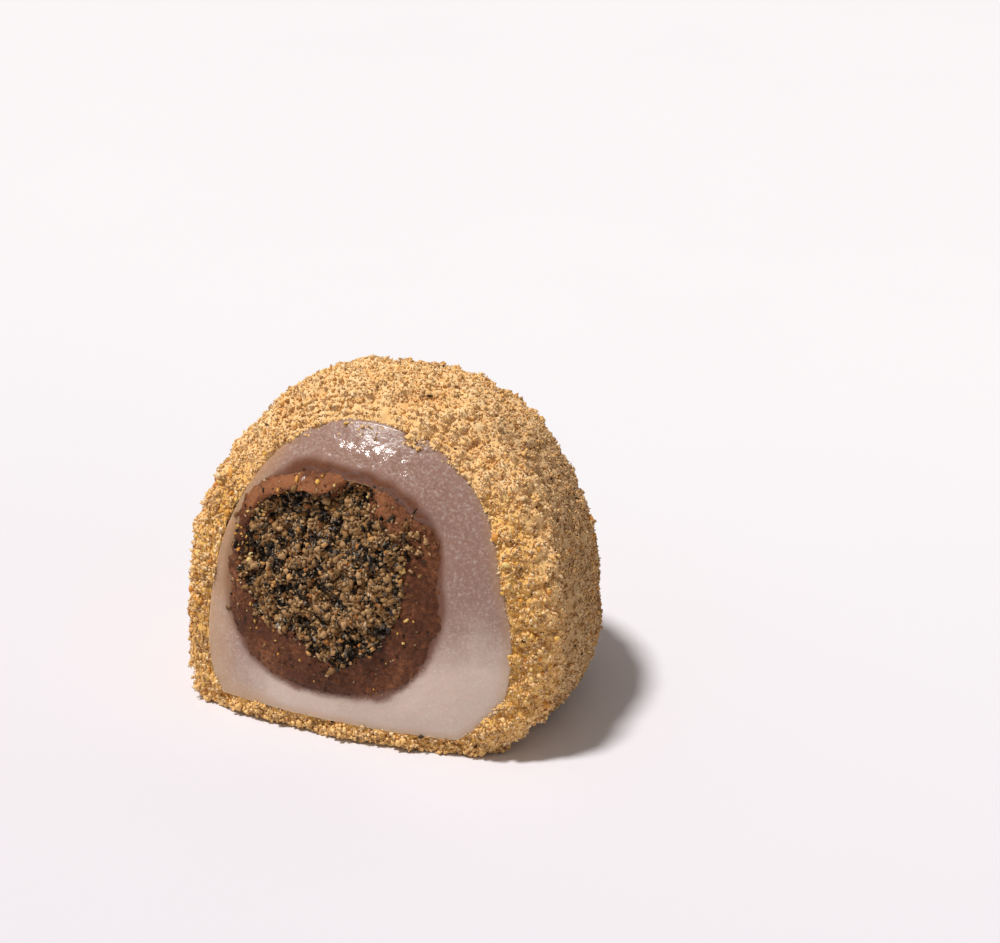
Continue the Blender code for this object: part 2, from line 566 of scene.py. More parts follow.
@dataclass(frozen=True)
class Grains:
    """Many loose grains of one kind.

    Attributes:
        name: the piece's name.
        shape: the proportions.
        size: the mean radius in millimetres.
        spread: how much sizes differ, as the standard deviation of the size's logarithm.
        count: how many grains.
        rough: how irregular a grain is.
        sink: how deep a grain sits, as a share of its radius.
        seed: tells one scatter from another.
        dust: whether a grain is as simple as an octahedron.
        scatter: how far grains stray from the surface's own points, in millimetres.
    """

    name: str
    shape: GrainShape
    size: float
    spread: float
    count: int
    rough: float
    sink: float
    seed: int
    dust: bool = False
    scatter: float = 0.13

    def corners(self) -> tuple[Array, Array]:
        """The corners at distance 1 and the faces of an octahedron or an icosahedron."""
        if self.dust:
            points = np.concatenate([np.eye(3), -np.eye(3)])
            ends = np.array(list(itertools.product((0, 3), (1, 4), (2, 5))))
            turned = np.linalg.det(points[ends]) < 0
            ends[turned] = ends[turned][:, ::-1]
            return points, ends
        golden = (1 + math.sqrt(5)) / 2
        base = [(0, a, b * golden) for a in (-1, 1) for b in (-1, 1)]
        points = unit(np.array([np.roll(corner, turn) for turn in range(3) for corner in base], float))
        triples = np.array(list(itertools.combinations(range(12), 3)))
        sides = points[triples] - points[np.roll(triples, 1, axis=1)]
        lengths = np.linalg.norm(sides, axis=-1)
        faces = triples[(lengths < 1.2).all(axis=1)]
        turned = np.linalg.det(points[faces]) < 0
        faces[turned] = faces[turned][:, ::-1]
        return points, faces

    def build(self, places: Array, normals: Array, weights: Array, dim: Array) -> bpy.types.Object:
        """Scatters the grains over a surface and joins them in one mesh.

        A grain is a regular solid whose corners are moved at random. It is stretched to the kind's
        proportions, turned at random and set near a random point of the surface.

        Args:
            places: points of the surface.
            normals: the surface's unit normals.
            weights: how likely each point is to hold a grain.
            dim: how far each point darkens its grains, from 0 to 1.

        Returns:
            The piece, with the mask "tone" that differs from grain to grain.
        """
        chance = np.random.default_rng(self.seed)
        picked = chance.choice(len(places), self.count, p=weights / weights.sum())
        size = self.size * np.exp(self.spread * chance.standard_normal(self.count))
        size = np.clip(size, self.size * 0.4, self.size * 2.4)
        corners, faces = self.corners()
        shaped = corners + self.rough * chance.uniform(-1, 1, (self.count, len(corners), 3))
        stretch = np.exp(0.24 * chance.standard_normal((self.count, 1, 3)))
        shaped = shaped * stretch * np.array(self.shape.value) * size[:, None, None]
        shaped = np.einsum("nij,nkj->nki", random_turns(chance, self.count), shaped)
        centres = places[picked] + normals[picked] * (size * (1 - self.sink))[:, None]
        loose = chance.normal(0, 1, (self.count, 3))
        loose -= normals[picked] * (0.6 * (loose * normals[picked]).sum(axis=-1))[:, None]
        centres = centres + self.scatter * loose
        shaped = shaped + centres[:, None]
        low = shaped[..., 2].min(axis=1)
        shaped[..., 2] += np.maximum(-low, 0)[:, None]
        numbers = (np.arange(self.count) * len(corners))[:, None, None] + faces[None]
        made = mesh_object(self.name, shaped.reshape(-1, 3), [numbers.reshape(-1, 3)])
        tone = chance.random(self.count) * (1 - dim[picked])
        add_mask(made, "tone", np.repeat(tone, len(corners)))
        return made


def random_turns(chance: np.random.Generator, count: int) -> Array:
    """Random rotation matrices, from unit quaternions spread evenly over all turns."""
    w, x, y, z = unit(chance.standard_normal((count, 4))).T
    rows = [
        [1 - 2 * (y * y + z * z), 2 * (x * y - w * z), 2 * (x * z + w * y)],
        [2 * (x * y + w * z), 1 - 2 * (x * x + z * z), 2 * (y * z - w * x)],
        [2 * (x * z - w * y), 2 * (y * z + w * x), 1 - 2 * (x * x + y * y)],
    ]
    return np.moveaxis(np.array(rows), -1, 0)


# ---------------------------------------------------------------- finishes


class Wiring:
    """A node tree with short calls for adding and joining nodes."""

    def __init__(self, tree: bpy.types.NodeTree) -> None:
        """Takes an empty or a fresh tree."""
        self.tree = tree

    def node(self, kind: str, **settings: object) -> bpy.types.Node:
        """Adds a node and sets its own settings."""
        made = self.tree.nodes.new(kind)
        for key, value in settings.items():
            setattr(made, key, value)
        return made

    def feed(self, node: bpy.types.Node, **values: object) -> bpy.types.Node:
        """Sets or links a node's inputs, an underscore standing for a space in an input's name."""
        for key, value in values.items():
            socket = node.inputs[key.replace("_", " ")]
            if isinstance(value, bpy.types.NodeSocket):
                self.tree.links.new(value, socket)
            else:
                socket.default_value = value
        return node

    def math(self, operation: str, *values: object) -> bpy.types.NodeSocket:
        """A Math node's result, from numbers or sockets."""
        made = self.node("ShaderNodeMath", operation=operation)
        for socket, value in zip(made.inputs, values):
            if isinstance(value, bpy.types.NodeSocket):
                self.tree.links.new(value, socket)
            else:
                socket.default_value = value
        return made.outputs[0]

    def rise(self, value: bpy.types.NodeSocket, low: float, high: float) -> bpy.types.NodeSocket:
        """A smooth rise from 0 at low to 1 at high."""
        made = self.node("ShaderNodeMapRange", interpolation_type="SMOOTHSTEP")
        self.feed(made, Value=value, From_Min=low, From_Max=high)
        return made.outputs["Result"]

    def mix(self, share: object, first: object, second: object) -> bpy.types.NodeSocket:
        """A blend of two colours."""
        made = self.node("ShaderNodeMix", data_type="RGBA")
        pairs = ((made.inputs[0], share), (made.inputs[6], first), (made.inputs[7], second))
        for socket, value in pairs:
            if isinstance(value, bpy.types.NodeSocket):
                self.tree.links.new(value, socket)
            elif isinstance(value, tuple):
                socket.default_value = (*value, 1.0)
            else:
                socket.default_value = value
        return made.outputs[2]

    def mask(self, name: str) -> bpy.types.NodeSocket:
        """A piece's own mask."""
        return self.node("ShaderNodeAttribute", attribute_name=name).outputs["Fac"]

    def ramp(
        self, value: bpy.types.NodeSocket, stops: Sequence[tuple[float, Colour]]
    ) -> bpy.types.NodeSocket:
        """A colour ramp through the given stops."""
        made = self.node("ShaderNodeValToRGB")
        band = made.color_ramp.elements
        while len(band) < len(stops):
            band.new(0.5)
        for element, (place, colour) in zip(band, stops):
            element.position = place
            element.color = (*colour, 1.0)
        self.tree.links.new(value, made.inputs["Fac"])
        return made.outputs["Color"]


def group_sheet(
    name: str, inputs: dict[str, float], outputs: Sequence[str]
) -> tuple[Wiring, dict, dict]:
    """A new node group with a place input.

    Args:
        name: the group's name.
        inputs: its number inputs and their usual values.
        outputs: its number outputs.

    Returns:
        The wiring, the inside ends of the inputs, and those of the outputs.
    """
    tree = bpy.data.node_groups.new(name, "ShaderNodeTree")
    tree.interface.new_socket("Place", in_out="INPUT", socket_type="NodeSocketVector")
    for key, usual in inputs.items():
        socket = tree.interface.new_socket(key, in_out="INPUT", socket_type="NodeSocketFloat")
        socket.default_value = usual
    for key in outputs:
        tree.interface.new_socket(key, in_out="OUTPUT", socket_type="NodeSocketFloat")
    wiring = Wiring(tree)
    source = wiring.node("NodeGroupInput")
    sink = wiring.node("NodeGroupOutput")
    return wiring, dict(source.outputs.items()), dict(sink.inputs.items())


def grit_group() -> bpy.types.ShaderNodeTree:
    """Fine grit: two noises, one with five times the other's detail, as a height and a mask.

    Its input Width is the coarse noise's typical width in millimetres.
    """
    wiring, given, wanted = group_sheet("grit", {"Width": 0.5, "Fine share": 0.4}, ("Height", "Mottle"))
    scale = wiring.math("DIVIDE", 0.5 / MM, given["Width"])
    coarse = wiring.node("ShaderNodeTexNoise")
    wiring.feed(coarse, Vector=given["Place"], Scale=scale, Detail=3.0, Roughness=0.6)
    fine = wiring.node("ShaderNodeTexNoise")
    wiring.feed(fine, Vector=given["Place"], Scale=wiring.math("MULTIPLY", scale, 5.0), Detail=2.0)
    share = wiring.math("MULTIPLY", wiring.math("SUBTRACT", fine.outputs[0], 0.5), given["Fine share"])
    wiring.tree.links.new(wiring.math("ADD", coarse.outputs[0], share), wanted["Height"])
    wiring.tree.links.new(wiring.rise(coarse.outputs[0], 0.35, 0.65), wanted["Mottle"])
    return wiring.tree


class Finish:
    """A material under construction: its wiring, shader, object coordinates and grit."""

    def __init__(self, name: str, roughness: float, grit: bpy.types.ShaderNodeTree) -> None:
        """Starts a material with a Principled BSDF."""
        self.material = bpy.data.materials.new(name)
        self.material.use_nodes = True
        self.wiring = Wiring(self.material.node_tree)
        self.shader = self.material.node_tree.nodes["Principled BSDF"]
        self.shader.inputs["Roughness"].default_value = roughness
        self.place = self.wiring.node("ShaderNodeTexCoord").outputs["Object"]
        self.grit_tree = grit

    def grit(self, width_mm: float, fine: float = 0.4) -> bpy.types.Node:
        """A copy of the grit group with its own width."""
        made = self.wiring.node("ShaderNodeGroup", node_tree=self.grit_tree)
        return self.wiring.feed(made, Place=self.place, Width=width_mm, Fine_share=fine)

    def bump(self, height: bpy.types.NodeSocket, depth_mm: float, strength: float = 1.0) -> None:
        """Relief finer than the mesh, depth_mm deep."""
        made = self.wiring.node("ShaderNodeBump")
        self.wiring.feed(made, Height=height, Distance=depth_mm * MM, Strength=strength)
        self.wiring.tree.links.new(made.outputs["Normal"], self.shader.inputs["Normal"])

    def inside(self, weight: float, radius_mm: Colour) -> None:
        """Light that goes under the surface, by the radius for red, green and blue."""
        self.shader.inputs["Subsurface Weight"].default_value = weight
        self.shader.inputs["Subsurface Radius"].default_value = radius_mm
        self.shader.inputs["Subsurface Scale"].default_value = MM

    def colour(self, value: bpy.types.NodeSocket) -> None:
        """What the surface's colour comes from."""
        self.wiring.tree.links.new(value, self.shader.inputs["Base Color"])

    def roughness(self, value: bpy.types.NodeSocket) -> None:
        """What the surface's roughness comes from."""
        self.wiring.tree.links.new(value, self.shader.inputs["Roughness"])


@dataclass(frozen=True)
class CoatFinish:
    """Pressed peanut powder: pale on the clumps and brown in the hollows, which is painted shade, with
    random brown patches; golden where it is moist; darker where packed, partly painted shade on the
    right side.
    """

    hollow: Colour = (0.80, 0.46, 0.175)
    plain: Colour = (0.95, 0.62, 0.28)
    high: Colour = (0.98, 0.72, 0.39)
    moist: Colour = (0.92, 0.54, 0.13)
    packed_and_shaded: Colour = (0.42, 0.265, 0.145)
    grit_width: float = 0.30
    grit_depth: float = 0.06

    def make(self, grit: bpy.types.ShaderNodeTree) -> bpy.types.Material:
        """Builds the material."""
        finish = Finish("peanut_powder", 0.92, grit)
        wiring = finish.wiring
        fine = finish.grit(self.grit_width)
        grain = wiring.math("MULTIPLY", fine.outputs["Height"], 0.35)
        level = wiring.math("ADD", wiring.mask("lift"), grain)
        # Tone by relief height, from the hollow colour in the low parts to the high colour on the
        # clumps: painted shade in the hollows.
        tone = wiring.ramp(level, ((0.30, self.hollow), (0.55, self.plain), (0.95, self.high)))
        patch = finish.grit(2.6)
        tone = wiring.mix(wiring.math("MULTIPLY", patch.outputs["Mottle"], 0.22), tone, self.hollow)
        # Darker where packed; on the right side this is partly painted shade.
        tone = wiring.mix(wiring.math("MULTIPLY", wiring.mask("packed_and_shaded"), 0.65), tone, self.packed_and_shaded)
        tone = wiring.mix(wiring.math("MULTIPLY", wiring.mask("moist"), 0.85), tone, self.moist)
        finish.colour(tone)
        finish.bump(fine.outputs["Height"], self.grit_depth)
        finish.shader.inputs["Specular IOR Level"].default_value = 0.2
        return finish.material


@dataclass(frozen=True)
class GrainFinish:
    """Loose grains whose colour differs from one to the next."""

    name: str
    stops: tuple[tuple[float, Colour], ...]
    roughness: float = 0.8
    inside: float = 0.0
    mottle: float = 0.25
    shine: float = 0.2

    def make(self, grit: bpy.types.ShaderNodeTree) -> bpy.types.Material:
        """Builds the material."""
        finish = Finish(self.name, self.roughness, grit)
        wiring = finish.wiring
        fine = finish.grit(0.16)
        off_middle = wiring.math("SUBTRACT", fine.outputs["Mottle"], 0.5)
        swing = wiring.math("MULTIPLY", off_middle, self.mottle)
        finish.colour(wiring.ramp(wiring.math("ADD", wiring.mask("tone"), swing), self.stops))
        finish.bump(fine.outputs["Height"], 0.04)
        finish.shader.inputs["Specular IOR Level"].default_value = self.shine
        if self.inside:
            finish.inside(self.inside, (0.5, 0.3, 0.1))
        return finish.material


@dataclass(frozen=True)
class DoughFinish:
    """Moist, translucent rice dough: mauve grey over the paste and higher up, partly painted shade,
    pale where it is thick.
    """

    pale: Colour = (0.72, 0.56, 0.46)
    mauve: Colour = (0.345, 0.195, 0.145)
    edge: Colour = (0.58, 0.33, 0.14)
    paste: Colour = (0.18, 0.062, 0.026)
    starch_and_glint: Colour = (0.86, 0.76, 0.70)
    sparkle: float = 0.42
    radius_mm: Colour = (1.5, 1.0, 0.75)

    def make(self, grit: bpy.types.ShaderNodeTree) -> bpy.types.Material:
        """Builds the material."""
        finish = Finish("rice_dough", 0.3, grit)
        wiring = finish.wiring
        wide = finish.grit(2.6)
        fine = finish.grit(0.16, 0.8)
        dimple = finish.grit(0.42, 0.15)
        # The mauve mask is partly painted shade.
        shade = wiring.math(
            "ADD",
            wiring.mask("thin_and_shaded"),
            wiring.math("MULTIPLY", wiring.math("SUBTRACT", wide.outputs["Mottle"], 0.5), 0.22),
        )
        tone = wiring.mix(wiring.rise(shade, 0.05, 0.95), self.pale, self.mauve)
        # Pale specks: partly starch grains, partly painted glints.
        speck = wiring.math("MULTIPLY", wiring.rise(fine.outputs["Height"], 0.45, 0.8), self.sparkle)
        tone = wiring.mix(speck, tone, self.starch_and_glint)
        near = wiring.math(
            "ADD",
            wiring.mask("near_paste"),
            wiring.math("MULTIPLY", wiring.math("SUBTRACT", fine.outputs["Height"], 0.5), 0.5),
        )
        tone = wiring.mix(wiring.rise(near, 0.25, 0.95), tone, self.paste)
        # A tan band where the dough meets the coat, wider on the left: partly powder on the edge,
        # partly a painted reflection of the coat.
        tone = wiring.mix(wiring.math("MULTIPLY", wiring.mask("near_coat"), 0.6), tone, self.edge)
        finish.colour(tone)
        wet = wiring.math("SUBTRACT", 0.38, wiring.math("MULTIPLY", wiring.mask("wet"), 0.25))
        finish.roughness(wet)
        finish.bump(dimple.outputs["Height"], 0.10)
        finish.inside(0.6, self.radius_mm)
        finish.shader.inputs["Coat Weight"].default_value = 0.25
        finish.shader.inputs["Coat Roughness"].default_value = 0.18
        return finish.material


@dataclass(frozen=True)
class PasteFinish:
    """Moist reddish brown paste with fine glints."""

    dark: Colour = (0.085, 0.027, 0.011)
    plain: Colour = (0.15, 0.050, 0.020)
    light: Colour = (0.35, 0.135, 0.056)

    def make(self, grit: bpy.types.ShaderNodeTree) -> bpy.types.Material:
        """Builds the material."""
        finish = Finish("bean_paste_moist", 0.36, grit)
        wiring = finish.wiring
        wide = finish.grit(1.6)
        fine = finish.grit(0.22, 0.8)
        both = wiring.math("ADD", wide.outputs["Height"], fine.outputs["Height"])
        level = wiring.math("MULTIPLY", both, 0.5)
        level = wiring.math("ADD", level, wiring.math("MULTIPLY", wiring.mask("lit_lip"), 0.25))
        finish.colour(wiring.ramp(level, ((0.36, self.dark), (0.52, self.plain), (0.72, self.light))))
        finish.roughness(wiring.math("ADD", 0.22, wiring.math("MULTIPLY", fine.outputs["Mottle"], 0.3)))
        finish.bump(fine.outputs["Height"], 0.11)
        finish.inside(0.35, (0.9, 0.4, 0.2))
        finish.shader.inputs["Specular IOR Level"].default_value = 0.12
        finish.shader.inputs["Coat Weight"].default_value = 0.08
        finish.shader.inputs["Coat Roughness"].default_value = 0.12
        return finish.material


@dataclass(frozen=True)
class CoreFinish:
    """The dark bed that the loose filling lies in, darkest in the pits of its relief, which is painted
    shade.
    """

    dark: Colour = (0.018, 0.012, 0.009)
    plain: Colour = (0.12, 0.07, 0.036)
    light: Colour = (0.34, 0.22, 0.12)

    def make(self, grit: bpy.types.ShaderNodeTree) -> bpy.types.Material:
        """Builds the material."""
        finish = Finish("sesame_bed", 0.85, grit)
        wiring = finish.wiring
        fine = finish.grit(0.35)
        off_middle = wiring.math("SUBTRACT", fine.outputs["Height"], 0.5)
        # Darker in the low parts of the relief: painted shade in the pits.
        level = wiring.math("ADD", wiring.mask("lift"), off_middle)
        finish.colour(wiring.ramp(level, ((0.15, self.dark), (0.5, self.plain), (0.95, self.light))))
        finish.bump(fine.outputs["Height"], 0.12)
        return finish.material


# ---------------------------------------------------------------- the pieces


def dress(piece: bpy.types.Object, material: bpy.types.Material) -> None:
    """Gives a piece its finish and its body, and reports it."""
    piece.data.materials.append(material)
    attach(piece, BODY)
    LOG.info("%s: %d faces", piece.name, len(piece.data.polygons))


@dataclass
class PeanutCoat:
    """The crumb coat: a relief shell open at the cut, with loose crumbs on it.

    Attributes:
        columns, outer_rows, band_rows, inner_rows: fineness of the shell.
        overlap, overlap_top: how far its inner edge reaches over the dough, and how much more at the
            top.
        corner_rounds: how often the outer edge of the cut is smoothed.
        proud: how far its inner edge stands out over the dough.
        ragged: how uneven that edge is.
        swell_height, fold_depth: height of the swollen edge on the right, and depth of the fold behind.
    """

    columns: int = 470
    outer_rows: int = 184
    band_rows: int = 9
    inner_rows: int = 12
    overlap: float = 0.42
    overlap_top: float = 1.3
    corner_rounds: int = 16
    proud: float = 0.24
    ragged: float = 0.22
    swell_height: float = 0.50
    fold_depth: float = 0.95

    def base(self) -> Sheet:
        """The coat with no relief: outer surface, cut edge and inner wall in one run of loops."""
        turns = np.linspace(0, 2 * math.pi, self.columns, endpoint=False)
        centre = (0.3, SECTION_HEIGHT)
        rim = outline(BALL, centre, turns)
        lip = outline(BALL.smaller(COAT_THICKNESS), centre, turns)
        at_top = step(np.sin(turns), 0.75, 1.0)
        over = self.overlap * (1 + 0.3 * np.cos(turns)) + self.overlap_top * at_top
        flat = np.stack([lip[:, 0], np.zeros(self.columns), lip[:, 1]], axis=-1)
        over = over + self.ragged * (Waves(2.3, 61).at(flat) + 0.8 * Waves(0.9, 62).at(flat))
        lip = lip + unit(np.array(centre) - lip) * over[:, None]
        share = np.linspace(0, 1, self.band_rows)[:, None, None]
        across = rim * (1 - share) + lip * share
        band = CUT.points(across[..., 0], across[..., 1])
        edge = share[..., 0]
        band[..., 1] -= self.proud * step(edge, 0.0, 0.5) * (1 - 1.8 * step(edge, 0.5, 1.0))
        origin = np.array([0.0, -1.0, 16.0])
        back = np.array([0.0, 1.0, -0.1])
        outer = wall(BALL, band[0], origin, back, self.outer_rows)
        inner_form = BALL.smaller(COAT_THICKNESS - 0.1)
        inner = wall(inner_form, band[-1] + np.array([0.0, 1.5, 0.0]), origin, back, self.inner_rows)
        rows = np.concatenate([outer[::-1], band, inner])
        corner = slice(self.outer_rows - 14, self.outer_rows + self.band_rows - 2)
        for _ in range(self.corner_rounds):
            eased = (rows[:-2] + 2 * rows[1:-1] + rows[2:]) / 4
            rows[1:-1][corner] = eased[corner]
        return Sheet(rows)

    def crease(self, points: Array) -> Array:
        """Height of the swollen edge and the fold behind it, low on the right side.

        With s the distance behind the cut, both are bell curves of s that fade upwards.
        """
        behind = points[..., 1] - CUT.plain(points[..., 0], points[..., 2])
        where = step(points[..., 0], 9.0, 15.0) * (1 - step(points[..., 2], 14.0, 27.0))
        swell = self.swell_height * np.exp(-(((behind - 2.4) / 1.5) ** 2))
        fold = self.fold_depth * np.exp(-(((behind - 5.4) / 1.1) ** 2))
        return where * (swell - fold)

    def packed_and_shaded(self, points: Array) -> Array:
        """Where the powder is pressed smooth and where shade is painted, from 0 to 1: in patches below
        the top, and mostly on the right side, which faces away from the light.
        """
        behind = points[..., 1] - CUT.plain(points[..., 0], points[..., 2])
        side = step(points[..., 0], 8.0, 17.0) * step(behind, 3.6, 6.5)
        patches = Waves(9.0, 5).at(points) + 0.5 * Waves(4.0, 6).at(points)
        patches = step(patches, 0.2, 0.8) * (1 - step(points[..., 2], 22.0, 31.0))
        return np.clip(0.8 * side + 0.8 * patches, 0, 1)

    def relief(self, sheet: Sheet) -> Sheet:
        """Adds the clumps and crumbs, and the masks.

        Along the normal the height is a sum of broad swellings, clumps and crumbs. It is less where
        the powder is packed, and nothing on the base and on the inner wall.
        """
        points = sheet.rows
        normals = sheet.normals()
        bent = points + 0.55 * np.stack([Waves(1.1, seed).at(points) for seed in (12, 17, 18)], axis=-1)
        clumps, _ = Pebbles(1.55, 11).at(bent)
        crumbs, _ = Pebbles(0.75, 13).at(bent)
        packed_and_shaded = self.packed_and_shaded(points)
        rough = 1 - 0.6 * packed_and_shaded
        swell = Waves(2.4, 16).at(points)
        medium = Waves(1.1, 19).at(points)
        small = Waves(0.55, 14).at(points)
        height = 0.30 * Waves(6.0, 15).at(points) + 0.22 * swell
        height = height + rough * (0.62 * (clumps - 0.58) + 0.26 * medium + 0.30 * (crumbs - 0.45))
        height = height + 0.12 * small * (1 - 0.3 * packed_and_shaded)
        row = np.arange(len(points))[:, None]
        band_end = self.outer_rows + self.band_rows
        keep = step(points[..., 2], 0.02, 1.1) * (1 - 0.35 * step(row, band_end - 5, band_end - 1))
        keep = keep * (row < band_end)
        lifted = points + normals * ((height + self.crease(points)) * keep)[..., None]
        lifted[..., 2] = np.maximum(lifted[..., 2], 0.0)
        moist = 1 - step(np.abs(DOUGH_FORM.depth(points) + 0.4), 0.6, 2.6)
        behind = points[..., 1] - CUT.plain(points[..., 0], points[..., 2])
        masks = {
            "lift": np.clip(0.40 * clumps + 0.30 * crumbs + 0.12 * (medium + swell) + 0.16, 0, 1),
            "packed_and_shaded": packed_and_shaded,
            "moist": moist * (1 - step(behind, 1.5, 3.5)),
        }
        return Sheet(lifted, masks)

    def build(self, grit: bpy.types.ShaderNodeTree) -> None:
        """Makes the shell and scatters the loose crumbs over it."""
        sheet = self.relief(self.base())
        shell = sheet.build("peanut_coat_shell")
        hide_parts("peanut_coat")
        dress(shell, CoatFinish().make(grit))
        self.scatter(sheet, grit)

    def scatter(self, sheet: Sheet, grit: bpy.types.ShaderNodeTree) -> None:
        """Scatters every kind of loose crumb over the shell, thickest on the clumps."""
        outside = sheet.rows[: self.outer_rows + self.band_rows - 1]
        rows = len(outside)
        normals = sheet.normals()[:rows]
        cell = np.linalg.norm(
            np.cross(np.gradient(outside, axis=0), np.roll(outside, -1, axis=1) - outside), axis=-1
        )
        lift, packed_and_shaded, moist = (sheet.masks[key][:rows] for key in ("lift", "packed_and_shaded", "moist"))
        bare = cell * (outside[..., 2] > 0.15)
        bare[self.outer_rows :] *= 1.5
        low_edge = bare * (1 - step(outside[..., 2], 0.4, 1.8))
        flat = (outside.reshape(-1, 3), normals.reshape(-1, 3))
        for grains, finish, weights in (
            (CRUMBS_PALE, PALE_CRUMBS, bare * (0.25 + lift) * (1 - 0.55 * packed_and_shaded)),
            (CRUMBS_GOLD, GOLD_CRUMBS, bare * (0.35 + lift) * (1 - 0.35 * packed_and_shaded)),
            (CRUMBS_FINE, FINE_CRUMBS, bare * (0.6 + 0.4 * packed_and_shaded)),
            (CRUMBS_TOAST, TOAST_CRUMBS, bare * (1.2 - lift) * (1 - 0.4 * packed_and_shaded)),
            (CRUMBS_AMBER, AMBER_CRUMBS, bare * (0.03 + moist) * step(outside[..., 2], 3.0, 8.0)),
            (CRUMBS_BASE, GOLD_CRUMBS, low_edge),
            (SESAME_SPECKS, BLACK_SEEDS, bare),
        ):
            # Grains are darkened where the coat is packed, partly painted shade on the right side.
            piece = grains.build(*flat, weights.ravel(), 0.95 * packed_and_shaded.ravel())
            dress(piece, finish.make(grit))


CRUMBS_PALE = Grains("crumbs_pale", GrainShape.CRUMB, 0.105, 0.42, 24000, 0.38, 0.55, 101, dust=True)
CRUMBS_GOLD = Grains("crumbs_gold", GrainShape.CRUMB, 0.115, 0.46, 24000, 0.40, 0.60, 102, dust=True)
CRUMBS_FINE = Grains("crumbs_fine", GrainShape.CRUMB, 0.085, 0.30, 24000, 0.36, 0.45, 103, dust=True)
CRUMBS_TOAST = Grains("crumbs_toasted", GrainShape.FLAKE, 0.115, 0.45, 3600, 0.38, 0.60, 104, dust=True)
CRUMBS_AMBER = Grains("crumbs_amber", GrainShape.CRUMB, 0.19, 0.38, 240, 0.30, 0.60, 105)
CRUMBS_BASE = Grains("crumbs_base", GrainShape.CRUMB, 0.125, 0.50, 2600, 0.40, 0.10, 106)
SESAME_SPECKS = Grains("sesame_specks", GrainShape.SEED, 0.12, 0.35, 150, 0.25, 0.30, 107)

PALE_CRUMBS = GrainFinish(
    "peanut_pale", ((0.0, (0.50, 0.31, 0.155)), (0.3, (0.95, 0.64, 0.32)), (1.0, (0.98, 0.75, 0.45))),
)
GOLD_CRUMBS = GrainFinish(
    "peanut_gold", ((0.0, (0.43, 0.25, 0.115)), (0.3, (0.92, 0.55, 0.20)), (1.0, (0.97, 0.65, 0.28))),
)
FINE_CRUMBS = GrainFinish(
    "peanut_fine", ((0.0, (0.42, 0.265, 0.145)), (0.3, (0.90, 0.58, 0.29)), (1.0, (0.97, 0.71, 0.41))),
)
TOAST_CRUMBS = GrainFinish(
    "peanut_toasted",
    ((0.0, (0.32, 0.12, 0.035)), (0.5, (0.58, 0.28, 0.085)), (1.0, (0.78, 0.43, 0.15))),
)
AMBER_CRUMBS = GrainFinish(
    "peanut_amber",
    ((0.0, (0.66, 0.27, 0.06)), (0.5, (0.82, 0.45, 0.10)), (1.0, (0.90, 0.64, 0.26))),
    roughness=0.45,
    inside=0.4,
)
BLACK_SEEDS = GrainFinish(
    "sesame_black",
    ((0.0, (0.009, 0.006, 0.004)), (0.6, (0.020, 0.014, 0.009)), (1.0, (0.06, 0.042, 0.028))),
    roughness=0.5,
    shine=0.12,
)


